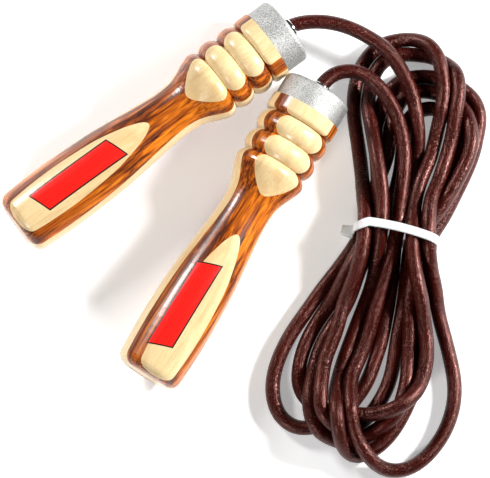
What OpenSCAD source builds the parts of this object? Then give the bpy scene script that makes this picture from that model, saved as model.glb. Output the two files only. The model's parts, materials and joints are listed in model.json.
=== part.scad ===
// Jump rope: two turned, laminated wooden handles, each with a ball-bearing swivel under an
// aluminium cap, joined by one round leather cord that is folded into a hank and tied.
// Millimetres. +Z is up, the parts lie on z = 0, and the origin is the bottom centre of the
// box around the two handles. Each handle is modelled upright: its axis is local Z, its butt
// is at z = 0 and its cap is at the top. It is then laid down by on_handle().

/* [Handle] */
// Overall length of a handle, butt to cap face
handle_len = 155; // [154.5:0.5:156]
// Radius of the handle at its widest bead
bead_r = 17.6; // [17.4:0.1:17.8]
// Radius of a bead's rounding
bead_round = 6.8; // [6.6:0.1:7]
// Radius of the turned collar next to the cap
collar_r = 17.2; // [17:0.1:17.4]
// Half the thickness of the pale core lamination
core_half = 6; // [4:0.5:8]
// Distance from the axis to the outer face of the dark laminations
dark_out = 12.8; // [12.2:0.2:13.4]

/* [Cap] */
// Radius of the aluminium cap
cap_r = 16.4; // [16.2:0.1:16.6]
// Length of the cap along the handle
cap_len = 11.7; // [11.5:0.1:12]
// Wall thickness of the cap
cap_wall = 1.6; // [1.2:0.1:2]
// Radius of the hole in the cap's face
cap_hole_r = 5.6; // [5.4:0.1:5.8]

/* [Swivel bearing] */
// Bore diameter of the ball bearing
bearing_bore = 10; // [10:1:10]
// Outside diameter of the ball bearing
bearing_od = 22; // [22:1:22]
// Width of the ball bearing
bearing_w = 6; // [6:1:6]
// Number of balls
ball_count = 9; // [7:1:10]
// Ball diameter
ball_d = 3.2; // [3:0.1:3.3]

/* [Rope] */
// Diameter of the leather rope
rope_d = 7; // [6.6:0.1:7]
// Height of the folded and tied hank
hank_h = 21; // [19:0.5:22]

/* [Cable tie] */
// Width of the tie's strap
strap_w = 3.6; // [3:0.1:4.8]
// Thickness of the strap
strap_t = 1.2; // [1:0.1:1.4]
// Inside width of the tied loop, across the hank
tie_inner_w = 38; // [36:1:40]
// Inside height of the tied loop
tie_inner_h = 19; // [18:0.2:19.4]

/* [Hidden] */
SIDES = ["left", "right"];
HANDLE_PIECES = [
    "core_lamination", "upper_dark_lamination", "lower_dark_lamination",
    "upper_pale_butt_lamination", "upper_pale_bead_lamination",
    "lower_pale_butt_lamination", "lower_pale_bead_lamination",
    "cap", "bearing_outer_race", "bearing_inner_race", "bearing_balls", "bearing_cage",
    "rope_sleeve", "sleeve_circlip", "rope_clamp"
];

$fn = 96;
fit = 0.02;  // gap between pieces that are pressed or pushed together

// Stations along a handle, from the butt
cap_start = handle_len - cap_len;
seat_end = handle_len - 2.5;       // inner side of the cap's end wall
seat_start = seat_end - bearing_w; // bearing shoulder in the wood
tenon_r = cap_r - cap_wall - fit;
cavity_r = 8;
cavity_start = 126;
bead_x = [119.6, 130.3];
bead_axis_r = bead_r - bead_round;
shoulder_end = 114.25;
butt_round = 5;
waist_x = 86;

// Turned outline of the grip between the butt's rounding and the first bead: station, radius
GRIP = [
    [5, 15.6], [16, 16.1], [30, 16.2], [49, 15.5], [61, 14.4], [72, 13.2], [81, 12.3],
    [88, 11.9], [95, 12.3], [100, 13.6], [104.5, 15.5], [109.5, 17.3], [112.5, 16.7],
    [shoulder_end, 15.06]
];

// How a handle lies: on the side of its butt and on its first bead
butt_rest = [17, 16.13];
pitch = atan((bead_r - butt_rest[1]) / (bead_x[0] - butt_rest[0]));
butt_z = butt_rest[1] * cos(pitch) - butt_rest[0] * sin(pitch);
BUTTS = [[-72.35, -14.85, butt_z], [-13.25, -84.15, butt_z]];
HEADINGS = [36.8, 59.1];
ROLLS = [0, 19];

// Bearing
ball_r = ball_d / 2;
ball_pitch_r = (bearing_bore + bearing_od) / 4;
race_wall = 1.9;
race_gap = 0.1;
ball_z = seat_start + bearing_w / 2;
cage_h = 4.4;
cage_t = 1.1;

// Sleeve and clamp
rope_r = rope_d / 2;
sleeve_r = bearing_bore / 2 - fit;
sleeve_bore_r = rope_r + 0.1;
nose_r = 4.9;
nose_end = handle_len + 3.2;
flange_r = 6.5;
flange_t = 2.4;
circlip_t = 0.8;
circlip_r = 6.2;
groove_r = 4.5;
clamp_from = 134.5;
clamp_to = 142.5;
clamp_r = 6.2;
lead_start = 133;

// The rope's free stretches, from where the axis stations end to the hank
ROUTE_SIDES = 10;
AXIS_STATIONS = [lead_start, 146, 158];
LEFT_ROUTE = [
    [61, 81.3, 18], [68, 81.7, 17.6], [76, 80.6, 17], [84, 77.8, 16.2], [92.5, 73, 15.3]
];
RIGHT_ROUTE = [[72.5, 56.2, 18], [77, 57.9, 17.7], [82, 58.3, 17.2], [87, 57, 16.6]];

// The hank's outline, seen from above
HANK = [
    [80.5, 27], [81.5, 45], [84, 58], [90, 71], [101, 78], [112, 79.5], [123, 75], [134, 62],
    [142, 44], [144, 30], [137, 10], [128, -8], [123, -22], [126, -42], [130, -64], [131, -88],
    [126, -112], [115, -126], [102, -130], [87, -124], [70, -113], [52, -107], [43, -94],
    [42, -80], [50, -60], [66, -40], [78, -24], [83, -8], [81, 10]
];

// The cable tie's place and turn
tie_at = [102.6, -15.4];
tie_turn = -13.5;
tie_lift = 1.3;          // lowest point of the bundle inside the strap
tie_corner_r = 6;
tie_head = [8, 6, 5];
tie_head_x = -25.2;
neck_gap = 0.1;
slot_w = 7;              // width of the gap that the strap and its head lie in

// ---- functions ----

function catmull(a, b, c, d, t) =
    (2 * b + (c - a) * t + (2 * a - 5 * b + 4 * c - d) * t * t
     + (3 * b - a - 3 * c + d) * t * t * t) / 2;

// A smooth open curve through the points p, with n steps from each to the next
function open_curve(p, n) = concat(
    [for (i = [0 : len(p) - 2], k = [0 : n - 1])
        catmull(p[max(i - 1, 0)], p[i], p[i + 1], p[min(i + 2, len(p) - 1)], k / n)],
    [p[len(p) - 1]]);

// A smooth closed curve through the points p
function closed_curve(p, n) =
    [for (i = [0 : len(p) - 1], k = [0 : n - 1])
        let (m = len(p))
        catmull(p[(i + m - 1) % m], p[i], p[(i + 1) % m], p[(i + 2) % m], k / n)];

// Points of an arc about c, from angle a to angle b
function arc(c, r, a, b, n) =
    [for (k = [0 : n]) let (t = a + (b - a) * k / n) c + r * [cos(t), sin(t)]];

// A handle's axis direction, and the point on that axis at a station
function axis_of(i) = [cos(pitch) * cos(HEADINGS[i]), cos(pitch) * sin(HEADINGS[i]), sin(pitch)];
function on_axis(i, station) = BUTTS[i] + station * axis_of(i);

function unit(v) = v / norm(v);

// ---- placing ----

module on_handle(i) {
    translate(BUTTS[i])
        rotate([0, 0, HEADINGS[i]])
        rotate([0, -pitch, 0])
        rotate([ROLLS[i], 0, 0])
        rotate([0, 90, 0])
        children();
}

module disc(r, from, to) {
    translate([0, 0, from]) cylinder(r = r, h = to - from);
}

module ring(inner, outer, from, to) {
    difference() {
        disc(outer, from, to);
        disc(inner, from - 1, to + 1);
    }
}

// ---- handle: turned wood ----

// The turned outline as [radius, station]
function turned() =
    let (
        groove_angle = acos((bead_x[1] - bead_x[0]) / 2 / bead_round),
        outline = concat(
            arc([butt_round, GRIP[0][1] - butt_round], butt_round, 180, 90, 6),
            [for (k = [1 : 3 * (len(GRIP) - 1)]) open_curve(GRIP, 3)[k]],
            [for (x = bead_x) each arc(
                [x, bead_axis_r], bead_round, 180 - groove_angle, groove_angle, 10)],
            arc([bead_x[1] + 7.6, collar_r - 2.2], 2.2, 180, 90, 5),
            [[cap_start, collar_r], [cap_start, tenon_r], [seat_end - fit, tenon_r],
             [seat_end - fit, 0], [0, 0]])
    )
    [for (q = outline) [q[1], q[0]]];

module turned_wood() {
    difference() {
        rotate_extrude() polygon(turned());
        disc(cavity_r, cavity_start, handle_len);
        disc(bearing_od / 2 + fit, seat_start, handle_len);
    }
}

// The part of the turned wood between two depths (local X) and two stations
module lamination(low, high, from, to) {
    intersection() {
        turned_wood();
        translate([low, -30, from]) cube([high - low, 60, to - from]);
    }
}

module core_lamination() {
    color("#ecd29c") lamination(-core_half, core_half, -1, handle_len);
}

module upper_dark_lamination() {
    color("#8a4a1c") lamination(-dark_out, -core_half, -1, handle_len);
}

module lower_dark_lamination() {
    color("#8a4a1c") lamination(core_half, dark_out, -1, handle_len);
}

module upper_pale_butt_lamination() {
    color("#ecd29c") lamination(-20, -dark_out, -1, waist_x);
}

module upper_pale_bead_lamination() {
    color("#ecd29c") lamination(-20, -dark_out, waist_x, handle_len);
}

module lower_pale_butt_lamination() {
    color("#ecd29c") lamination(dark_out, 20, -1, waist_x);
}

module lower_pale_bead_lamination() {
    color("#ecd29c") lamination(dark_out, 20, waist_x, handle_len);
}

// ---- handle: cap and swivel ----

module cap() {
    rim = 2;
    inner_r = cap_r - cap_wall;
    recess_r = cavity_r + 0.2;
    recess_end = seat_end + 1.3;
    color("#c9cacb") rotate_extrude() polygon(concat(
        [[inner_r, cap_start], [cap_r, cap_start]],
        [for (q = arc([cap_r - rim, handle_len - rim], rim, 0, 90, 6)) q],
        [[cap_hole_r, handle_len], [cap_hole_r, recess_end], [recess_r, recess_end],
         [recess_r, seat_end], [inner_r, seat_end]]));
}

module bearing_outer_race() {
    color("#b8bcc2") rotate_extrude() difference() {
        translate([bearing_od / 2 - race_wall, seat_start]) square([race_wall, bearing_w]);
        translate([ball_pitch_r, ball_z]) circle(r = ball_r + race_gap);
    }
}

module bearing_inner_race() {
    color("#b8bcc2") rotate_extrude() difference() {
        translate([bearing_bore / 2, seat_start]) square([race_wall, bearing_w]);
        translate([ball_pitch_r, ball_z]) circle(r = ball_r + race_gap);
    }
}

module at_balls() {
    for (k = [0 : ball_count - 1])
        rotate([0, 0, 360 * k / ball_count]) translate([ball_pitch_r, 0, ball_z]) children();
}

module bearing_balls() {
    color("#d8dade") at_balls() sphere(r = ball_r);
}

module bearing_cage() {
    color("#b08d4a") difference() {
        ring(
            ball_pitch_r - cage_t / 2, ball_pitch_r + cage_t / 2,
            ball_z - cage_h / 2, ball_z + cage_h / 2);
        at_balls() rotate([0, 90, 0]) cylinder(r = ball_r + race_gap, h = 3 * cage_t, center = true);
    }
}

module rope_sleeve() {
    lip = 1.4;
    flange_start = seat_start - fit - flange_t;
    clip_start = seat_end + fit;
    clip_end = clip_start + circlip_t + fit;
    color("#dfe0e2") rotate_extrude() polygon(concat(
        [[sleeve_bore_r, flange_start], [flange_r, flange_start], [flange_r, flange_start + flange_t],
         [sleeve_r, flange_start + flange_t], [sleeve_r, clip_start], [groove_r, clip_start],
         [groove_r, clip_end], [nose_r, clip_end]],
        arc([nose_r - lip + 0.1, nose_end - lip], lip - 0.1, 0, 90, 6),
        [[sleeve_bore_r, nose_end - 0.1]]));
}

module sleeve_circlip() {
    color("#9a9da1") ring(groove_r + fit, circlip_r, seat_end + 2 * fit, seat_end + fit + circlip_t);
}

module rope_clamp() {
    color("#b08d4a") ring(sleeve_bore_r, clamp_r, clamp_from, clamp_to);
}

// ---- rope ----

// A round tube swept through the points p, level rings
module swept(p, r, sides) {
    last = len(p) - 1;
    rings = [for (i = [0 : last])
        let (
            t = unit(p[min(i + 1, last)] - p[max(i - 1, 0)]),
            across = unit(cross(t, [0, 0, 1])),
            up = cross(across, t)
        )
        for (k = [0 : sides - 1])
            p[i] + r * (cos(360 * k / sides) * across + sin(360 * k / sides) * up)];
    walls = [for (i = [0 : last - 1], k = [0 : sides - 1])
        let (a = i * sides, b = a + sides, n = (k + 1) % sides)
        [a + k, a + n, b + n, b + k]];
    polyhedron(
        rings,
        concat(
            walls,
            [[for (k = [sides - 1 : -1 : 0]) k]],
            [[for (k = [0 : sides - 1]) last * sides + k]]));
}

module lead(i, route) {
    color("#5a2a22") swept(
        concat([for (x = AXIS_STATIONS) on_axis(i, x)], open_curve(route, 2)), rope_r, ROUTE_SIDES);
}

module rope_left_lead() { lead(0, LEFT_ROUTE); }

module rope_right_lead() { lead(1, RIGHT_ROUTE); }

module at_tie() {
    translate([tie_at[0], tie_at[1], 0]) rotate([0, 0, tie_turn]) children();
}

// A rounded bar along local Y, as deep as the strap is wide plus extra, grown by more
module tie_bar(more, extra) {
    w = tie_inner_w / 2 + more;
    r = tie_corner_r + more;
    deep = strap_w + extra;
    translate([0, deep / 2, tie_lift + tie_inner_h / 2]) rotate([90, 0, 0]) linear_extrude(deep) {
        square([2 * (w - r), tie_inner_h + 2 * more], center = true);
        square([2 * w, tie_inner_h + 2 * more - 2 * r], center = true);
        for (x = [-1, 1], y = [-1, 1])
            translate([x * (w - r), y * (tie_inner_h / 2 + more - r)]) circle(r = r);
    }
}

module rope_hank() {
    color("#5a2a22") difference() {
        translate([0, 0, 0.02]) linear_extrude(hank_h - 0.02) polygon(closed_curve(HANK, 2));
        at_tie() difference() {
            translate([-40, -slot_w / 2, -1]) cube([80, slot_w, hank_h + 2]);
            tie_bar(-neck_gap, slot_w);
        }
    }
}

module cable_tie() {
    color("#eef1f2") at_tie() {
        difference() {
            union() {
                tie_bar(strap_t, 0);
                translate([tie_head_x, 0, tie_lift + tie_inner_h / 2 - 1])
                    cube(tie_head + [4, 0, 0], center = true);
            }
            tie_bar(0, 4);
        }
    }
}

// ---- pieces ----

for (i = [0, 1]) {
    on_handle(i) core_lamination();
    on_handle(i) upper_dark_lamination();
    on_handle(i) lower_dark_lamination();
    on_handle(i) upper_pale_butt_lamination();
    on_handle(i) upper_pale_bead_lamination();
    on_handle(i) lower_pale_butt_lamination();
    on_handle(i) lower_pale_bead_lamination();
    on_handle(i) cap();
    on_handle(i) bearing_outer_race();
    on_handle(i) bearing_inner_race();
    on_handle(i) bearing_balls();
    on_handle(i) bearing_cage();
    on_handle(i) rope_sleeve();
    on_handle(i) sleeve_circlip();
    on_handle(i) rope_clamp();
}
rope_left_lead();
rope_right_lead();
rope_hank();
cable_tie();
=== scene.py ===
"""Leather jump rope with two turned, laminated handles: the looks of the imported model."""
import json
import math

import bmesh
import bpy
import numpy as np
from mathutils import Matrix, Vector


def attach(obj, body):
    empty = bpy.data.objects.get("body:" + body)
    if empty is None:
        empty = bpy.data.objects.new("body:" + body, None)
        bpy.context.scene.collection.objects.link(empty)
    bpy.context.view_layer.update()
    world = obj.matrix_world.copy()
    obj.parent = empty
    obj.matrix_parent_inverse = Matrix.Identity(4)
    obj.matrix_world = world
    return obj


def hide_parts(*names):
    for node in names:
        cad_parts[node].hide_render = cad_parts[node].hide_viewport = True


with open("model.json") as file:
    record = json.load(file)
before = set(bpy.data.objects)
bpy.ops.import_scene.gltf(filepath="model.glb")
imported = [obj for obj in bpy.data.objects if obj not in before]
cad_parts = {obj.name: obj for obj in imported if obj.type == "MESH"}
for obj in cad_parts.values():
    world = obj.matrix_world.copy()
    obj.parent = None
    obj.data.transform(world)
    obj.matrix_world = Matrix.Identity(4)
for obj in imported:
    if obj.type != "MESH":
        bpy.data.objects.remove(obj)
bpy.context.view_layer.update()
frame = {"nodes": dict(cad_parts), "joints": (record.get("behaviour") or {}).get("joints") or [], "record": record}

MM = 0.001
SIDES = ("left", "right")
JOINTS = {joint["name"]: joint for joint in frame["joints"]}


# ---- camera ----

VIEW_AT = Vector((0.0323, -0.0176, 0.0))   # the point on the floor at the middle of the picture
VIEW_WIDTH = 0.2272                        # how much of that level the picture's width takes in
ELEVATION = math.radians(79)
LENS = 300.0                               # a long lens, in millimetres
SENSOR = 36.0


def add_camera():
    data = bpy.data.cameras.new("camera")
    data.lens = LENS
    data.sensor_width = SENSOR
    data.sensor_fit = "HORIZONTAL"
    data.clip_start = 0.01
    data.dof.use_dof = False
    camera = bpy.data.objects.new("camera", data)
    distance = VIEW_WIDTH * LENS / SENSOR
    away = Vector((0, -math.cos(ELEVATION), math.sin(ELEVATION)))
    camera.location = VIEW_AT + away * distance
    camera.rotation_euler = (math.pi / 2 - ELEVATION, 0, 0)
    bpy.context.scene.collection.objects.link(camera)
    bpy.context.scene.camera = camera


# ---- the rope's route, in millimetres ----

ROPE_D = 7.0            # the rope's diameter
ROPE_R = ROPE_D / 2
SETTLE_STEP = 2.4       # spacing of the points that the rope is settled with
RING_STEP = 0.9         # spacing of the rings of its mesh
RING_SIDES = 32
HANDLE_STATIONS = (133, 146, 158)          # along a handle, where the rope is inside it
BEARING_STATION = 149.5                    # along a handle, where its joint is
LEFT_ROUTE = [(61, 81.3, 18), (68, 81.7, 17.6), (76, 80.6, 17), (84, 77.8, 16.2)]
RIGHT_ROUTE = [(72.5, 56.2, 18), (77, 57.9, 17.7), (82, 58.3, 17.2), (87, 57, 16.6)]
TIE_AT = np.array([102.1, -17.4])
TIE_TURN = math.radians(-13.5)
TIE_ACROSS = np.array([math.cos(TIE_TURN), math.sin(TIE_TURN)])
TIE_ALONG = np.array([-math.sin(TIE_TURN), math.cos(TIE_TURN)])
TIE_REACH = 26          # no strand passes the tie further than this from its middle
# Where each of the twelve strands passes the tie, in the rope's order: across the tie, and up
TIE_SPOTS = [
    (0, 4.8), (-15.4, 4.8), (11.5, 10.9), (-7.7, 4.8), (7.7, 4.8), (-15.2, 16.8),
    (7.6, 16.8), (-11.5, 10.9), (15.4, 4.8), (-7.6, 16.8), (15.2, 16.8), (0, 11.8),
]
# Points along the middle of the rope, read off, with x and y to half a millimetre
ROUTE = [
    # in from the left handle, over the top loops and down to the tie
    [
        (92.5, 73, 15.3), (98.5, 69, 14.3), (104.5, 60, 13), (109.5, 50, 12), (111.5, 40.5, 11),
        (112.5, 33, 10), (113, 25.5, 8.5), (113, 18, 6), (111.5, 9, 4.8), (109, -0.5, 4.6),
        (106, -8.5, 4.7),
    ],
    # lower half: down the right side, lowest of all
    [
        (102.5, -15.5, 4.8), (101.5, -24.5, 4.3), (100.5, -35, 4), (99, -45, 3.5), (96.5, -56, 3.5),
        (94.5, -66.5, 3.5), (91.5, -76.5, 3.5), (87.5, -87, 3.5), (83.5, -92.5, 3.5), (78, -98.5, 3.5),
        (72.5, -104, 3.5),
    ],
    # bottom loop 1, the outermost, and back up the left side
    [
        (65, -106.5, 3.5), (58.5, -107, 3.5), (53, -105, 3.5), (48.5, -101, 3.5), (46, -95.5, 3.5),
        (45, -88.5, 3.5), (46, -80, 3.5), (49.5, -70.5, 3.5), (54.5, -61, 3.5), (60, -53.5, 3.5),
        (65.5, -46.5, 3.5), (71, -40, 3.6), (76, -33.5, 3.8), (80.5, -26.5, 4), (84, -19, 4.4),
    ],
    # top loop 4, low on the left and over the others on the right
    [
        (87.5, -11.5, 4.8), (90, -1.5, 4.3), (94, 10, 3.6), (97, 21, 3.5), (99, 33, 3.5), (100, 41, 3.5),
        (102.5, 46.5, 4), (107, 50, 5.5), (112.5, 51.5, 7.5), (119.5, 52, 8), (126, 50, 8.5), (132, 46, 9),
        (136, 40, 9.5), (137.5, 33, 10), (137.5, 25.5, 10.2), (135, 17.5, 10.3), (131, 9, 10.4),
        (126, 0.5, 10.6), (120.5, -8, 10.8),
    ],
    # lower half: down the right side, above the first run there
    [
        (113.5, -18, 10.9), (111.5, -27.5, 10.5), (109.5, -37.5, 10), (108.5, -48, 9.5), (107.5, -60, 9.3),
        (107.5, -72.5, 9.3), (107.5, -83, 10), (106, -92, 10.5), (103.5, -98.5, 10.5), (99.5, -104, 9),
        (93, -108.5, 6), (85.5, -111.5, 5.3),
    ],
    # bottom loop 2
    [
        (78.5, -112.5, 6.5), (74.5, -111.5, 9), (71.5, -109.5, 10.5), (67, -106.5, 10.8),
        (64.5, -103, 10.8), (63, -99, 10.6), (62.5, -94.5, 9.5), (62, -89, 7), (63.5, -81.5, 4.5),
        (65.5, -73.5, 3.5), (69, -66, 3.5), (72.5, -59, 3.5), (77.5, -51.5, 3.5), (81.5, -42.5, 3.6),
        (85.5, -32, 3.8), (90, -22.5, 4.2),
    ],
    # top loop 5, the innermost
    [
        (95, -13.5, 4.8), (99, -5, 4.5), (102, 4.5, 4), (104.5, 14, 3.5), (105, 23.5, 3.5),
        (104.5, 30, 3.5), (105.5, 35, 3.5), (108.5, 39, 3.5), (113, 42, 3.5), (117.5, 43.5, 3.5),
        (124, 42.5, 3.5), (129.5, 39, 3.5), (132.5, 33.5, 3.5), (133.5, 26.5, 3.5), (131, 19, 3.5),
        (127.5, 10, 3.6), (123, 1, 4), (117, -8.5, 4.5),
    ],
    # lower half: down the middle of the right side
    [
        (110, -17, 4.8), (108, -28.5, 4.4), (107, -37.5, 4), (106, -47, 3.5), (104, -60, 3.5),
        (101.5, -71.5, 3.5), (99.5, -82, 3.5), (96, -91, 3.5), (90.5, -99, 3.7), (85, -105.5, 6),
        (80, -109, 9),
    ],
    # bottom loop 3
    [
        (75.5, -109, 11.5), (71.5, -106.5, 14), (69, -103.5, 15.5), (67.5, -100.5, 16), (67, -95.5, 15),
        (66.5, -90, 13), (67.5, -82, 10.5), (70, -72, 9.5), (74, -62.5, 9.5), (76.5, -53.5, 10.2),
        (78.5, -47, 11), (82.5, -37, 13), (86, -26, 15.5),
    ],
    # top loop 1, the outermost on the left
    [
        (88, -12, 16.8), (88.5, -2.5, 16), (87, 8.5, 14), (85, 25.5, 10), (83, 42, 5.5), (84, 54, 4),
        (87, 63.5, 3.5), (92.5, 71, 3.5), (97.5, 74.5, 3.5), (102.5, 75.5, 4), (108.5, 76, 5.5),
        (114, 74.5, 8), (119.5, 70.5, 10), (123, 65, 11.3), (125.5, 56, 12), (125.5, 48.5, 12.5),
        (123.5, 40.5, 13), (121.5, 32.5, 13), (119.5, 25, 13), (116.5, 17, 13), (113.5, 9, 13.5),
        (111.5, 1, 14.5), (110, -7, 16),
    ],
    # lower half: down the right side, on top of the others
    [
        (109, -16, 16.8), (109, -24.5, 16.5), (110, -32, 16), (111, -40, 15), (112.5, -47.5, 14),
        (113.5, -55, 13), (115, -63, 12.8), (115.5, -71, 13), (115, -78.5, 13.5), (112.5, -87, 15.5),
        (108, -94, 17.3), (101.5, -99, 17.3), (95, -101.5, 14), (88.5, -101.5, 11), (83, -101, 10.5),
    ],
    # bottom loop 4
    [
        (77, -101, 10.3), (71.5, -100, 7), (66, -97.5, 3.8), (61.5, -93.5, 3.5), (58.5, -88.5, 3.5),
        (57.5, -81.5, 3.5), (58, -74.5, 3.5), (60.5, -67, 3.5), (64, -60, 3.5), (68, -53.5, 3.8),
        (72, -47, 4.5), (78, -36, 6.5), (84, -25.5, 9),
    ],
    # top loop 3, the outermost on the right
    [
        (91.5, -13, 10.9), (92.5, -1, 9.5), (94, 11, 7), (94.5, 21, 5), (95, 30.5, 3.8), (96, 40, 3.5),
        (98.5, 48, 3.5), (102, 54, 3.5), (107, 57.5, 3.5), (112.5, 58.5, 3.5), (120, 58, 3.5),
        (127, 56, 3.5), (133.5, 52.5, 3.5), (138, 48, 3.5), (140, 41.5, 3.5), (140, 34.5, 3.5),
        (138.5, 26.5, 3.5), (135, 18.5, 3.5), (131, 10, 3.8), (127, 1.5, 4.2), (122.5, -8, 4.5),
    ],
    # lower half: down the right side, below the others
    [
        (117.5, -19, 4.8), (115.5, -29.5, 4.4), (114.5, -40, 4), (114.5, -51.5, 3.6), (114, -63.5, 3.5),
        (113.5, -73, 3.5), (111.5, -82, 3.5), (108.5, -90.5, 3.5), (105, -98, 3.5), (102, -104, 3.5),
        (97.5, -109.5, 3.5), (92.5, -114.5, 3.5), (87.5, -118, 4.3),
    ],
    # bottom loop 5
    [
        (82.5, -119.5, 8), (78, -117, 13), (75, -111.5, 18), (73, -103.5, 19.5), (73, -95.5, 17.5),
        (75, -86.5, 14), (77.5, -78, 10.5), (80.5, -70, 9), (83.5, -62, 9), (86, -54.5, 10.5),
        (88.5, -47, 12.5), (91, -39.5, 14.2), (93.5, -29.5, 15.8),
    ],
    # top loop 2
    [
        (95, -13.5, 16.8), (95.5, -2.5, 16), (94.5, 8.5, 14), (92, 25.5, 10), (90.5, 42, 5.5),
        (90.5, 53, 4), (93, 61.5, 3.5), (97.5, 67, 3.5), (103.5, 69.5, 3.5), (111.5, 69.5, 3.5),
        (119, 69, 4.2), (125, 65, 6.5), (129, 58, 10), (131, 49, 12), (130.5, 40.5, 12.5),
        (129, 32.5, 12.8), (127.5, 25, 13), (125.5, 17, 13), (122.5, 9, 13.3), (119.5, 1, 14.3),
        (117.5, -7, 15.7),
    ],
    # bottom loop 6: free on the right, then back up over the others
    [
        (116.5, -17, 16.8), (117, -25, 15.5), (117.5, -31.5, 13.5), (118.5, -39, 11), (120, -46.5, 8.5),
        (121.5, -53.5, 6), (123.5, -61.5, 4.5), (125.5, -69, 3.7), (127, -76.5, 3.5), (128.5, -84.5, 3.5),
        (128.5, -92.5, 3.5), (127, -100, 3.5), (124, -108, 3.5), (119, -115.5, 3.5), (113.5, -121.5, 3.5),
        (107.5, -125, 3.5), (101.5, -126.5, 3.5), (95.5, -125, 5), (90, -121.5, 10.5), (85.5, -116, 15),
        (82, -110, 18), (80.5, -103, 19), (79.5, -95.5, 19), (80, -87.5, 18), (82, -79, 16),
        (84.5, -73.5, 14), (87, -67.5, 12.5), (90.5, -58, 11), (93, -51, 11), (94.5, -45, 11),
        (97, -37, 11.3), (99.5, -26, 11.6),
    ],
    # from the tie over the top loops and in to the right handle
    [
        (102.5, -15.5, 11.8), (104, -2.5, 12.2), (105.5, 9, 12.3), (106, 20.5, 12.3), (105, 29, 12.3),
        (103, 37, 12.5), (100, 43.5, 13.3), (96, 49.5, 14.5), (92, 53.5, 15.6),
    ],
]


def joint_axis(side):
    """A handle's butt and the direction from there to its cap, as arrays, the butt in millimetres."""
    joint = JOINTS[side + "_spin"]
    axis = np.array(joint["axis"])
    return np.array(joint["pos_m"]) / MM - BEARING_STATION * axis, axis


def inside_handle(side):
    """The rope's points inside a handle, from its clamp to the cap."""
    butt, axis = joint_axis(side)
    return [tuple(butt + station * axis) for station in HANDLE_STATIONS]


def curve_through(points, step):
    """Points closer than step on a smooth curve through points (a centripetal Catmull-Rom spline)."""
    p = np.array(points, float)
    p = np.vstack([2 * p[0] - p[1], p, 2 * p[-1] - p[-2]])
    out = []
    for i in range(1, len(p) - 2):
        a, b, c, d = p[i - 1:i + 3]
        t1 = np.linalg.norm(b - a) ** 0.5
        t2 = t1 + np.linalg.norm(c - b) ** 0.5
        t3 = t2 + np.linalg.norm(d - c) ** 0.5
        count = max(2, int(2 * np.linalg.norm(c - b) / step))
        for t in np.linspace(t1, t2, count, endpoint=False):
            ab = (t1 - t) / t1 * a + t / t1 * b
            bc = (t2 - t) / (t2 - t1) * b + (t - t1) / (t2 - t1) * c
            cd = (t3 - t) / (t3 - t2) * c + (t - t2) / (t3 - t2) * d
            abc = (t2 - t) / t2 * ab + t / t2 * bc
            bcd = (t3 - t) / (t3 - t1) * bc + (t - t1) / (t3 - t1) * cd
            out.append((t2 - t) / (t2 - t1) * abc + (t - t1) / (t2 - t1) * bcd)
    out.append(p[-2])
    return np.array(out)


def distances(p):
    """How far along a line of points each one is."""
    return np.concatenate([[0], np.cumsum(np.linalg.norm(np.diff(p, axis=0), axis=1))])


def spaced(p, step):
    """The same line with evenly spaced points, about step apart."""
    s = distances(p)
    t = np.linspace(0, s[-1], int(round(s[-1] / step)) + 1)
    return np.stack([np.interp(t, s, p[:, k]) for k in range(3)], axis=1)


def tie_crossings(p):
    """The points just before the tie's plane, and how far each point is ahead of it and to its side."""
    ahead = (p[:, :2] - TIE_AT) @ TIE_ALONG
    aside = (p[:, :2] - TIE_AT) @ TIE_ACROSS
    hits = [
        i for i in range(len(p) - 1)
        if ahead[i] * ahead[i + 1] <= 0 and abs(aside[i]) < TIE_REACH
    ]
    return hits, ahead, aside


SETTLE_ROUNDS = 600
LOOSE_ROUNDS = 0.3 * SETTLE_ROUNDS   # up to here the rope hardly resists bending
BENDING_PASSES = 12     # in each round after that
BENDING = 0.05
PULL = 0.06             # towards the route, seen from above
WEIGHT = 0.03
TIE_PULL = 0.12         # towards the strands' places in the tie
PUSH = 0.175            # of a pair of points that overlap, as a share of the overlap
STRETCH = 0.25          # of a link whose length is wrong, as a share of the error
SEARCH_EVERY = 5        # rounds between searches for strands that are near each other
SEARCH_REACH = 3.0      # strands this much further apart than a diameter may come to touch
HELD_END = 26           # the rope's ends that handles and caps hold in place
LEAD_END = 130          # how far from its ends the rope is carried clear of the floor
LEAD_FADE = 60          # over what length that comes in
LEAD_PULL = 0.12


def bent_back(p):
    """The line a little straighter where it bends unevenly."""
    bow = np.zeros_like(p)
    bow[1:-1] = p[:-2] + p[2:] - 2 * p[1:-1]
    stiff = np.zeros_like(p)
    stiff[1:-1] = bow[:-2] + bow[2:] - 2 * bow[1:-1]
    return p - BENDING * stiff


def near_pairs(p):
    """Pairs of points that are near each other, but not neighbours along the rope."""
    order = np.arange(len(p))
    neighbours = math.ceil(1.6 * ROPE_D / SETTLE_STEP)
    gap2 = ((p[:, None, :] - p[None, :, :]) ** 2).sum(-1)
    apart = order[None, :] - order[:, None] > neighbours
    return np.nonzero((gap2 < (ROPE_D + SEARCH_REACH) ** 2) & apart)


def push_apart(p, one, other):
    """Moves pairs of points that are less than a diameter apart away from each other."""
    between = p[other] - p[one]
    gap = np.linalg.norm(between, axis=1)
    push = (PUSH * np.maximum(0, ROPE_D - gap) / np.maximum(gap, 0.001))[:, None] * between
    np.add.at(p, one, -push)
    np.add.at(p, other, push)


def keep_length(p, rest):
    """Moves neighbouring points towards their right distance."""
    link = p[1:] - p[:-1]
    length = np.linalg.norm(link, axis=1)
    give = (STRETCH * (length - rest) / length)[:, None] * link
    p[:-1] += give
    p[1:] -= give


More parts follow.
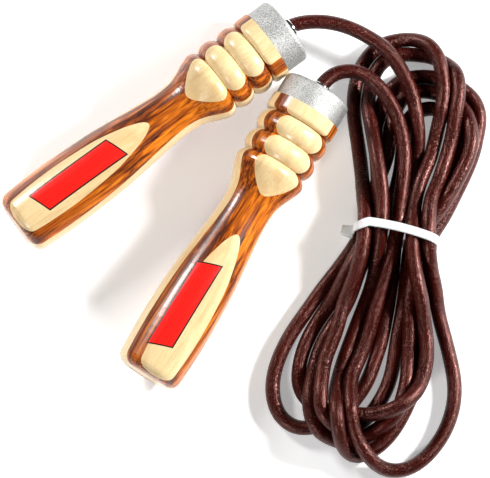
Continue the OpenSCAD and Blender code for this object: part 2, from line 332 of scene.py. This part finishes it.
def settle(plan):
    """Lets the rope find its rest: it keeps its length, bends as leather does, lies on the floor or on
    itself a diameter apart, stays near its route seen from above and passes through the tie."""
    p = plan.copy()
    rest = np.linalg.norm(np.diff(p, axis=0), axis=1)
    hits, ahead, aside = tie_crossings(plan)
    held = []
    held_at = []
    for (x, z), i in zip(TIE_SPOTS, hits):
        for k in (i, i + 1):
            held.append(k)
            held_at.append([*(TIE_AT + TIE_ACROSS * x + TIE_ALONG * ahead[k]), z])
    held = np.array(held)
    held_at = np.array(held_at)
    s = distances(plan)
    from_end = np.minimum(s, s[-1] - s)
    fixed = from_end < HELD_END
    carried = LEAD_PULL * np.clip((LEAD_END - from_end) / LEAD_FADE, 0, 1)
    for turn in range(SETTLE_ROUNDS):
        if turn % SEARCH_EVERY == 0:
            one, other = near_pairs(p)
        for _ in range(BENDING_PASSES if turn > LOOSE_ROUNDS else 1):
            p = bent_back(p)
        p[:, :2] += PULL * (plan[:, :2] - p[:, :2])
        p[:, 2] += carried * (plan[:, 2] - p[:, 2]) - WEIGHT
        for _ in range(3):
            push_apart(p, one, other)
            keep_length(p, rest)
            p[:, 2] = np.maximum(p[:, 2], ROPE_R)
            p[held] += TIE_PULL * (held_at - p[held])
            p[fixed] = plan[fixed]
    return p


def rope_line():
    """The rope's centre line at rest, in millimetres, from the left handle's clamp to the right one's."""
    points = inside_handle("left") + LEFT_ROUTE
    for stretch in ROUTE:
        points += stretch
    points += RIGHT_ROUTE[::-1] + inside_handle("right")[::-1]
    plan = spaced(curve_through(points, SETTLE_STEP), SETTLE_STEP)
    return spaced(curve_through(settle(plan), RING_STEP), RING_STEP)


# ---- meshes ----

def new_object(name, data):
    obj = bpy.data.objects.new(name, data)
    bpy.context.scene.collection.objects.link(obj)
    return obj


def mesh_object(name, points, faces, smooth=True):
    """A mesh object from points in metres."""
    mesh = bpy.data.meshes.new(name)
    mesh.from_pydata([tuple(p) for p in points], [], faces)
    mesh.update()
    mesh.polygons.foreach_set("use_smooth", [smooth] * len(mesh.polygons))
    return new_object(name, mesh)


def moving_frames(line):
    """Two unit vectors across the line at each point, turning as little as possible along it."""
    along = np.gradient(line, axis=0)
    along /= np.linalg.norm(along, axis=1)[:, None]
    side = np.cross(along[0], [0, 0, 1])
    side /= np.linalg.norm(side)
    sides = [side]
    for k in range(1, len(line)):
        side = side - along[k] * side.dot(along[k])
        side /= np.linalg.norm(side)
        sides.append(side)
    sides = np.array(sides)
    return sides, np.cross(along, sides)


def slow_noise(count, knot_step, rng):
    """Values at the rope's rings, from one random value between -1 and 1 to the next, knot_step apart."""
    knots = int(count * RING_STEP / knot_step) + 4
    at = np.arange(count) * RING_STEP
    return np.interp(at, np.arange(knots) * knot_step, rng.uniform(-1, 1, knots))


SEAM_DEPTH = 0.22       # depth of the groove where the leather's edges meet
SEAM_WIDTH = 0.16       # its half width, as an angle
SEAM_TWIST = 0.011      # how far it winds round the rope, radians per millimetre
SEAM_WANDER = 0.9       # how far it strays from that, in radians, and over what length
WANDER_STEP = 120
SWELL = 0.05            # how much the rope's radius varies, and over what length
SWELL_STEP = 9
UNDERSIZE = 0.08        # its mean radius is this much less, so that strands don't cut into each other


def rope_mesh(line):
    """The rope as one closed tube, with the seam of its rolled leather and its uneven thickness."""
    rng = np.random.default_rng(7)
    sides, ups = moving_frames(line)
    s = distances(line)
    count = len(line)
    angles = np.arange(RING_SIDES) * 2 * math.pi / RING_SIDES
    seam = SEAM_TWIST * s + SEAM_WANDER * slow_noise(count, WANDER_STEP, rng)
    swell = SWELL * slow_noise(count, SWELL_STEP, rng)
    round_about = angles[None, :] + seam[:, None]
    off_seam = (angles[None, :] + math.pi) % (2 * math.pi) - math.pi
    groove = SEAM_DEPTH * np.exp(-(off_seam / SEAM_WIDTH) ** 2)
    radius = ROPE_R - UNDERSIZE + swell[:, None] - groove
    x = radius * np.cos(round_about)
    y = radius * np.sin(round_about)
    points = line[:, None, :] + x[..., None] * sides[:, None, :] + y[..., None] * ups[:, None, :]
    points = points.reshape(-1, 3)
    faces = []
    for i in range(count - 1):
        for k in range(RING_SIDES):
            j = (k + 1) % RING_SIDES
            a = i * RING_SIDES
            faces.append((a + k, a + j, a + j + RING_SIDES, a + k + RING_SIDES))
    faces.append(tuple(range(RING_SIDES))[::-1])
    faces.append(tuple(range((count - 1) * RING_SIDES, count * RING_SIDES)))
    obj = mesh_object("leather_rope", points * MM, faces)
    # each point's place on the leather before it was bent, for its grain
    flat = np.zeros((count, RING_SIDES, 3))
    flat[..., 0] = ROPE_R * np.cos(angles)[None, :]
    flat[..., 1] = ROPE_R * np.sin(angles)[None, :]
    flat[..., 2] = s[:, None]
    place = obj.data.attributes.new("leather_place", "FLOAT_VECTOR", "POINT")
    place.data.foreach_set("vector", flat.astype(np.float32).ravel())
    # how strongly the leather is pressed together there, on the inside of a bend
    bend = np.gradient(np.gradient(line, axis=0), axis=0) / RING_STEP ** 2
    inward = (bend * sides).sum(1)[:, None] * np.cos(round_about)
    inward += (bend * ups).sum(1)[:, None] * np.sin(round_about)
    press = obj.data.attributes.new("leather_press", "FLOAT", "POINT")
    press.data.foreach_set("value", (inward * ROPE_R).astype(np.float32).ravel())
    return obj


# ---- cable tie ----

STRAP_W = 4.0
STRAP_T = 1.2
STRAP_EDGE = 0.3        # how far its edges are cut off
STRAP_CLEAR = 0.1       # between it and the strands
STRAP_STEP = 0.8        # spacing of its sections
STRAP_ABOVE = 0.05      # the least between it and the floor
TIE_BOW = 1.6           # how far the strap bows along the hank, over its top and under it
TIE_DROP = 3.0          # how far it lies back at its head
TIE_CORNER = 6.0        # over what distance it does
HEAD_SIZE = (6.0, 5.8, 5.0)                # across the tie, along the hank and up
HEAD_OFFSET = np.array([-2.6, -0.5, 3.0])  # from the strap's left end
HEAD_TAPER = 0.7        # how much narrower its far end is
HEAD_ROUND = 0.5


def hull(points):
    """The corners of the convex outline round the points, in order."""
    points = sorted(map(tuple, points))
    ends = []
    for run in (points, points[::-1]):
        chain = []
        for p in run:
            while len(chain) > 1:
                (ax, ay), (bx, by) = chain[-2], chain[-1]
                if (bx - ax) * (p[1] - ay) - (by - ay) * (p[0] - ax) > 0:
                    break
                chain.pop()
            chain.append(p)
        ends += chain[:-1]
    return np.array(ends)


def tie_loop(line):
    """The strap's middle line round the strands in millimetres: across the tie, along the hank and up."""
    hits, ahead, aside = tie_crossings(line)
    around = np.linspace(0, 2 * math.pi, 48, endpoint=False)
    reach = ROPE_R + STRAP_T / 2 + STRAP_CLEAR
    spots = [(aside[i], line[i, 2]) for i in hits]
    cloud = [(x + reach * math.cos(a), z + reach * math.sin(a)) for x, z in spots for a in around]
    outline = hull(cloud)
    outline = np.vstack([outline, outline[:1]])
    closed = np.column_stack([outline[:, 0], np.zeros(len(outline)), outline[:, 1]])
    loop = spaced(closed, STRAP_STEP)[:-1]
    for _ in range(6):
        loop = (np.roll(loop, 1, axis=0) + 2 * loop + np.roll(loop, -1, axis=0)) / 4
    x = loop[:, 0]
    low, high = loop[:, 2].min(), loop[:, 2].max()
    height = (2 * loop[:, 2] - low - high) / (high - low)
    drop = np.clip((x.min() + TIE_CORNER - x) / TIE_CORNER, 0, 1)
    loop[:, 1] = TIE_BOW * (1 - (x / x.min()) ** 2) * height - TIE_DROP * drop
    loop[:, 2] = np.maximum(loop[:, 2], STRAP_T / 2 + STRAP_ABOVE)
    return loop


def tie_place(x, y, z):
    """A point given across the tie, along the hank and up, in metres."""
    flat = TIE_AT + TIE_ACROSS * x + TIE_ALONG * y
    return flat[0] * MM, flat[1] * MM, z * MM


def strap_mesh(loop):
    """The strap round the hank: a flat band with its edges cut off."""
    forward = np.roll(loop, -1, axis=0) - np.roll(loop, 1, axis=0)
    outward = np.column_stack([forward[:, 2], np.zeros(len(loop)), -forward[:, 0]])
    outward /= np.linalg.norm(outward, axis=1)[:, None]
    sideways = np.cross(outward, forward / np.linalg.norm(forward, axis=1)[:, None])
    w = STRAP_W / 2
    t = STRAP_T / 2
    e = STRAP_EDGE
    section = [
        (-w + e, t), (w - e, t), (w, t - e), (w, -t + e),
        (w - e, -t), (-w + e, -t), (-w, -t + e), (-w, t - e),
    ]
    points = []
    for centre, out, aside in zip(loop, outward, sideways):
        points += [tie_place(*(centre + aside * y + out * z)) for y, z in section]
    sides = len(section)
    faces = []
    for i in range(len(loop)):
        a = i * sides
        b = (i + 1) % len(loop) * sides
        faces += [(a + k, b + k, b + (k + 1) % sides, a + (k + 1) % sides) for k in range(sides)]
    return mesh_object("tie_strap", points, faces, smooth=False)


def head_mesh(strap_end):
    """The tie's head: a block with rounded edges, tapered away from the strap."""
    mesh = bpy.data.meshes.new("tie_head")
    shape = bmesh.new()
    bmesh.ops.create_cube(shape, size=1)
    centre = strap_end + HEAD_OFFSET
    for v in shape.verts:
        narrow = HEAD_TAPER if v.co.x < 0 else 1.0
        x = centre[0] + v.co.x * HEAD_SIZE[0]
        y = centre[1] + v.co.y * HEAD_SIZE[1] * narrow
        z = centre[2] + v.co.z * HEAD_SIZE[2] * narrow
        v.co = Vector(tie_place(x, y, z))
    bmesh.ops.bevel(
        shape, geom=list(shape.edges), offset=HEAD_ROUND * MM, segments=3, affect="EDGES", profile=0.5
    )
    bmesh.ops.recalc_face_normals(shape, faces=list(shape.faces))
    shape.to_mesh(mesh)
    shape.free()
    mesh.polygons.foreach_set("use_smooth", [True] * len(mesh.polygons))
    return new_object("tie_head", mesh)


# ---- materials ----

class Look:
    """A material with a Principled shader, and short calls that add its other nodes."""

    def __init__(self, name, **values):
        self.material = bpy.data.materials.new(name)
        self.material.use_nodes = True
        self.tree = self.material.node_tree
        self.shader = self.tree.nodes["Principled BSDF"]
        for socket, value in values.items():
            self.shader.inputs[socket.replace("_", " ")].default_value = value

    def node(self, kind, inputs=(), **settings):
        node = self.tree.nodes.new("ShaderNode" + kind)
        for key, value in settings.items():
            setattr(node, key, value)
        for key, value in dict(inputs).items():
            if isinstance(value, bpy.types.NodeSocket):
                self.tree.links.new(value, node.inputs[key])
            else:
                node.inputs[key].default_value = value
        return node

    def set(self, socket, value):
        self.tree.links.new(value, self.shader.inputs[socket])

    def math(self, operation, a, b=0.0, c=0.0):
        return self.node("Math", {0: a, 1: b, 2: c}, operation=operation).outputs[0]

    def vector(self, operation, a, b=(0, 0, 0)):
        node = self.node("VectorMath", {0: a, 1: b}, operation=operation)
        return node.outputs["Value" if operation == "DOT_PRODUCT" else "Vector"]

    def object_place(self):
        """The surface's place in the piece, in millimetres."""
        return self.vector("MULTIPLY", self.node("TexCoord").outputs["Object"], (1000, 1000, 1000))

    def stretched(self, place, sizes):
        """place with each direction divided by a size, so that the noise has blotches of that size."""
        return self.vector("MULTIPLY", place, tuple(1 / size for size in sizes))

    def noise(self, place, scale=1.0, detail=2.0, roughness=0.5, distortion=0.0):
        inputs = {
            "Vector": place, "Scale": scale, "Detail": detail, "Roughness": roughness,
            "Distortion": distortion,
        }
        return self.node("TexNoise", inputs).outputs["Fac"]

    def ramp(self, value, stops):
        """A colour for each value: stops are (place, colour) pairs, with linear colours."""
        node = self.node("ValToRGB", {"Fac": value})
        elements = node.color_ramp.elements
        node.color_ramp.interpolation = "EASE"
        while len(elements) < len(stops):
            elements.new(0.5)
        for element, (at, colour) in zip(elements, stops):
            element.position = at
            element.color = (*colour, 1)
        return node.outputs["Color"]

    def step(self, value, low, high, start=0.0, end=1.0):
        """start up to low, end from high on, and smooth between."""
        inputs = {"Value": value, "From Min": low, "From Max": high, "To Min": start, "To Max": end}
        return self.node("MapRange", inputs, interpolation_type="SMOOTHSTEP").outputs["Result"]

    def blend(self, amount, a, b):
        """a where amount is 0, b where it is 1."""
        node = self.node("Mix", {"Factor": amount}, data_type="RGBA")
        for socket, value in ((node.inputs[6], a), (node.inputs[7], b)):
            if isinstance(value, bpy.types.NodeSocket):
                self.tree.links.new(value, socket)
            else:
                socket.default_value = (*value, 1)
        return node.outputs[2]

    def bump(self, height, depth, under=None):
        """A bump of that depth in millimetres."""
        inputs = {"Height": height, "Strength": 1.0, "Distance": depth * MM}
        if under is not None:
            inputs["Normal"] = under
        return self.node("Bump", inputs).outputs["Normal"]


def handle_place(look, side):
    """The surface's place in a handle in millimetres, along it from the butt, across it and up, as a
    vector and as its three parts."""
    butt, axis = joint_axis(side)
    across = np.cross([0, 0, 1], axis)
    across /= np.linalg.norm(across)
    up = np.cross(axis, across)
    from_butt = look.vector("SUBTRACT", look.object_place(), tuple(butt))
    parts = [look.vector("DOT_PRODUCT", from_butt, tuple(d)) for d in (axis, across, up)]
    return look.node("CombineXYZ", dict(zip("XYZ", parts))).outputs[0], parts


MARK_RED = (0.80, 0.012, 0.008)
MARK_BLACK = (0.006, 0.006, 0.006)
MARK_FROM = 14          # the printed bar's ends, along the handle
MARK_TO = 57
MARK_HALF = 5.2         # half its width
MARK_EDGE = 0.7         # its black outline
MARK_SLANT = 0.35       # how far its ends lean along the handle, per millimetre across
MARK_BLUR = 0.12        # half the width of its edges' blur


def printed_bar(look, parts, colour):
    """A plain slanted red bar with a black outline, printed on the top of the butt."""
    x, y, z = parts
    slanted = look.math("MULTIPLY_ADD", y, MARK_SLANT, x)
    middle = (MARK_FROM + MARK_TO) / 2
    from_middle = look.math("ABSOLUTE", look.math("SUBTRACT", slanted, middle))
    past_end = look.math("SUBTRACT", from_middle, (MARK_TO - MARK_FROM) / 2)
    past_side = look.math("SUBTRACT", look.math("ABSOLUTE", y), MARK_HALF)
    outside = look.math("MAXIMUM", past_end, past_side)
    above = look.step(z, 2.0, 3.0)
    for reach, paint in ((MARK_EDGE, MARK_BLACK), (0.0, MARK_RED)):
        cover = look.math("MULTIPLY", look.step(outside, reach - MARK_BLUR, reach + MARK_BLUR, 1, 0), above)
        colour = look.blend(cover, colour, paint)
    return colour


def pale_wood(side):
    """Varnished pale wood: soft clouds, fine lines along the grain and short flecks."""
    look = Look(
        side + "_pale_wood", Roughness=0.5, Specular_IOR_Level=0.25, Coat_Weight=0.35, Coat_Roughness=0.2,
    )
    place, parts = handle_place(look, side)
    cloud = look.noise(look.stretched(place, (40, 9, 9)), detail=3, distortion=0.6)
    lines = look.noise(look.stretched(place, (26, 0.9, 0.9)), detail=3, roughness=0.6, distortion=0.3)
    flecks = look.noise(look.stretched(place, (2.6, 0.35, 0.35)), detail=1)
    colour = look.ramp(cloud, [
        (0.30, (0.62, 0.42, 0.20)), (0.50, (0.71, 0.53, 0.28)), (0.72, (0.76, 0.60, 0.35)),
    ])
    colour = look.blend(look.step(lines, 0.48, 0.74, 0, 0.5), colour, (0.56, 0.34, 0.14))
    colour = look.blend(look.step(flecks, 0.62, 0.76, 0, 0.45), colour, (0.44, 0.25, 0.10))
    look.set("Base Color", printed_bar(look, parts, colour))
    look.set("Roughness", look.step(lines, 0.3, 0.8, 0.26, 0.4))
    look.set("Normal", look.bump(lines, 0.03))
    return look.material


def dark_wood(side):
    """Varnished rosewood-brown wood: wavy bands and lines along the grain, and dark pores."""
    look = Look(
        side + "_dark_wood", Roughness=0.5, Specular_IOR_Level=0.2, Coat_Weight=0.45, Coat_Roughness=0.2,
    )
    place, parts = handle_place(look, side)
    drift = look.noise(look.stretched(place, (55, 14, 14)), detail=2)
    bands = look.noise(look.stretched(place, (60, 5.5, 5.5)), detail=4, roughness=0.55, distortion=1.4)
    lines = look.noise(look.stretched(place, (34, 1.1, 1.1)), detail=4, roughness=0.62, distortion=0.8)
    pores = look.noise(look.stretched(place, (3.4, 0.28, 0.28)), detail=1)
    mixed = look.math("MULTIPLY_ADD", lines, 0.45, look.math("MULTIPLY", bands, 0.55))
    mixed = look.math("MULTIPLY_ADD", drift, 0.16, look.math("SUBTRACT", mixed, 0.08))
    colour = look.ramp(mixed, [
        (0.37, (0.028, 0.005, 0.001)), (0.44, (0.120, 0.022, 0.003)), (0.51, (0.330, 0.070, 0.006)),
        (0.59, (0.600, 0.160, 0.010)), (0.70, (0.760, 0.250, 0.022)),
    ])
    colour = look.blend(look.step(pores, 0.62, 0.75, 0, 0.6), colour, (0.035, 0.010, 0.004))
    look.set("Base Color", printed_bar(look, parts, colour))
    look.set("Roughness", look.step(mixed, 0.3, 0.7, 0.42, 0.26))
    look.set("Normal", look.bump(mixed, 0.04))
    return look.material


def cap_aluminium():
    """Bead-blasted aluminium: matt, with a fine sparkle."""
    look = Look("cap_aluminium", Metallic=0.9, Roughness=0.5)
    place = look.object_place()
    grit = look.noise(place, scale=2.6, detail=3, roughness=0.7)
    fine = look.noise(place, scale=6.0, detail=1)
    patch = look.noise(place, scale=0.12, detail=2)
    colour = look.ramp(grit, [
        (0.34, (0.05, 0.05, 0.05)), (0.47, (0.30, 0.30, 0.29)), (0.62, (0.66, 0.66, 0.64)),
    ])
    colour = look.blend(look.step(patch, 0.4, 0.7, 0, 0.2), colour, (0.62, 0.62, 0.60))
    look.set("Base Color", colour)
    look.set("Roughness", look.step(grit, 0.3, 0.7, 0.42, 0.62))
    look.set("Normal", look.bump(fine, 0.06, look.bump(grit, 0.20)))
    return look.material


def turned_metal(name, colour, roughness, mark=0.35):
    """Plain metal with faint marks of that size, in millimetres, and slight stains."""
    look = Look(name, Metallic=1.0, Roughness=roughness)
    place = look.object_place()
    marks = look.noise(look.stretched(place, (mark, mark, mark)), detail=3, roughness=0.6)
    stain = look.noise(place, scale=0.3, detail=2)
    darker = tuple(0.72 * c for c in colour)
    look.set("Base Color", look.blend(look.step(stain, 0.35, 0.75, 0, 0.6), colour, darker))
    look.set("Roughness", look.step(marks, 0.3, 0.7, roughness * 0.8, roughness * 1.3))
    look.set("Normal", look.bump(marks, 0.012))
    return look.material


def rope_leather():
    """Oiled dark red-brown leather: streaks along it, fine pebbled grain, and creases inside its bends, with
    painted shade in the creases.
    """
    look = Look(
        "rope_leather", Roughness=0.25, Specular_IOR_Level=0.55, IOR=1.5,
        Specular_Tint=(1.0, 0.48, 0.41, 1),
    )
    place = look.node("Attribute", attribute_name="leather_place").outputs["Vector"]
    press = look.node("Attribute", attribute_name="leather_press").outputs["Fac"]
    streaks = look.noise(look.stretched(place, (1.5, 1.5, 22)), detail=4, roughness=0.6, distortion=0.5)
    mottle = look.noise(look.stretched(place, (2.2, 2.2, 6)), detail=3)
    grain = look.noise(place, scale=1.7, detail=3, roughness=0.65)
    pebbles = look.node("TexVoronoi", {"Vector": place, "Scale": 1.15}, feature="DISTANCE_TO_EDGE")
    cells = pebbles.outputs[0]
    folds = look.noise(look.stretched(place, (4.5, 4.5, 0.9)), detail=3, distortion=0.7)
    colour = look.ramp(streaks, [
        (0.30, (0.016, 0.001, 0.001)), (0.50, (0.036, 0.002, 0.001)), (0.70, (0.066, 0.004, 0.002)),
    ])
    colour = look.blend(look.step(mottle, 0.45, 0.75, 0, 0.5), colour, (0.060, 0.006, 0.004))
    colour = look.blend(look.step(grain, 0.35, 0.55, 0.6, 0), colour, (0.010, 0.002, 0.001))
    colour = look.blend(look.step(cells, 0.0, 0.12, 0.6, 0), colour, (0.004, 0.001, 0.001))
    pressed = look.step(press, 0.02, 0.16)
    raised = look.math("MULTIPLY", look.step(cells, 0, 0.16), 0.5)
    height = look.math("MULTIPLY_ADD", grain, 0.5, raised)
    where = look.math("MULTIPLY_ADD", pressed, 0.85, 0.15)
    crease_depth_and_shade = look.math("MULTIPLY", look.step(folds, 0.42, 0.62), where)
    # painted shade: the colour is darkened in the creases inside the bends
    colour = look.blend(look.math("MULTIPLY", crease_depth_and_shade, 0.4), colour, (0.015, 0.004, 0.003))
    look.set("Base Color", colour)
    look.set("Roughness", look.step(grain, 0.35, 0.6, 0.34, 0.18))
    look.set("Normal", look.bump(crease_depth_and_shade, -0.35, look.bump(height, 0.09)))
    return look.material


def tie_nylon():
    """Natural nylon: whitish and slightly see-through."""
    look = Look(
        "tie_nylon", Roughness=0.35, Transmission_Weight=0.3, IOR=1.5, Subsurface_Weight=0.25,
        Subsurface_Scale=0.002,
    )
    place = look.object_place()
    cloud = look.noise(place, scale=0.35, detail=2)
    fine = look.noise(place, scale=3.0, detail=2)
    look.set("Base Color", look.ramp(cloud, [(0.3, (0.78, 0.82, 0.81)), (0.7, (0.88, 0.90, 0.90))]))
    look.set("Roughness", look.step(fine, 0.3, 0.7, 0.3, 0.45))
    look.set("Normal", look.bump(fine, 0.02))
    return look.material


def floor_look():
    """A plain pale floor with a weak even glow, which keeps it nearly white in the soft shadows."""
    look = Look(
        "floor", Roughness=0.9, Specular_IOR_Level=0.1, Emission_Color=(1, 1, 1, 1), Emission_Strength=0.35,
    )
    place = look.object_place()
    cloud = look.noise(place, scale=0.004, detail=2)
    look.set("Base Color", look.ramp(cloud, [(0.2, (0.88, 0.88, 0.88)), (0.8, (0.90, 0.90, 0.90))]))
    return look.material


def paint(obj, material):
    """The whole object in one material."""
    obj.data.materials.clear()
    obj.data.materials.append(material)


def paint_frame():
    """A material for the CAD nodes of metal and wood, by the record's own slots."""
    plain = {
        "cap_aluminium": cap_aluminium(),
        "bearing_steel": turned_metal("bearing_steel", (0.56, 0.57, 0.59), 0.3),
        "bearing_balls": turned_metal("bearing_balls", (0.72, 0.73, 0.75), 0.08, 1.5),
        "cage_brass": turned_metal("cage_brass", (0.72, 0.50, 0.20), 0.35),
        "sleeve_steel": turned_metal("sleeve_steel", (0.80, 0.81, 0.82), 0.14),
        "circlip_steel": turned_metal("circlip_steel", (0.22, 0.22, 0.23), 0.4),
        "clamp_brass": turned_metal("clamp_brass", (0.70, 0.48, 0.19), 0.3),
    }
    woods = {}
    for side in SIDES:
        woods[side, "pale_wood"] = pale_wood(side)
        woods[side, "dark_wood"] = dark_wood(side)
    for part in frame["record"]["subparts"]:
        node = part["node"]
        kind = part["material_slot"]
        if kind in plain:
            paint(frame["nodes"][node], plain[kind])
        elif kind.endswith("_wood"):
            paint(frame["nodes"][node], woods[node.split("_")[0], kind])


# ---- studio ----

FLOOR_HALF = 6.0        # metres
FLOOR_DROP = 0.0002     # just under the object, so that no two faces share a plane


def add_floor():
    half = FLOOR_HALF
    corners = [(-half, -half, 0), (half, -half, 0), (half, half, 0), (-half, half, 0)]
    floor = mesh_object("floor", corners, [(0, 1, 2, 3)], smooth=False)
    floor.location.z = -FLOOR_DROP
    paint(floor, floor_look())


def add_light(name, place, aim, size, power):
    """A square soft light that looks at aim, its size in metres and its power in watts."""
    data = bpy.data.lights.new(name, "AREA")
    data.shape = "SQUARE"
    data.size = size
    data.energy = power
    light = new_object(name, data)
    light.location = place
    toward = Vector(aim) - Vector(place)
    light.rotation_euler = toward.to_track_quat("-Z", "Y").to_euler()


def add_world(strength):
    world = bpy.data.worlds.new("studio")
    world.use_nodes = True
    background = world.node_tree.nodes["Background"]
    background.inputs["Color"].default_value = (1, 1, 1, 1)
    background.inputs["Strength"].default_value = strength
    bpy.context.scene.world = world


def add_studio():
    middle = (0.03, -0.02, 0)
    add_light("key_right", (0.80, 0.15, 0.48), middle, 0.16, 17.5)
    add_light("upper_left", (-0.60, 0.55, 0.50), middle, 0.20, 8.0)
    add_light("front_left", (-0.45, -0.80, 0.60), middle, 0.22, 5.0)
    add_world(0.03)
    bpy.context.scene.view_settings.view_transform = "Standard"


# ---- the object ----

add_camera()

line = rope_line()
rope = rope_mesh(line)
paint(rope, rope_leather())
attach(rope, "rope")
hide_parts("rope_left_lead", "rope_right_lead", "rope_hank")

loop = tie_loop(line)
nylon = tie_nylon()
strap = strap_mesh(loop)
head = head_mesh(loop[loop[:, 0].argmin()])
tie_pieces = [strap, head]
for piece in tie_pieces:
    paint(piece, nylon)
    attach(piece, "rope")
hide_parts("cable_tie")

paint_frame()
add_floor()
add_studio()
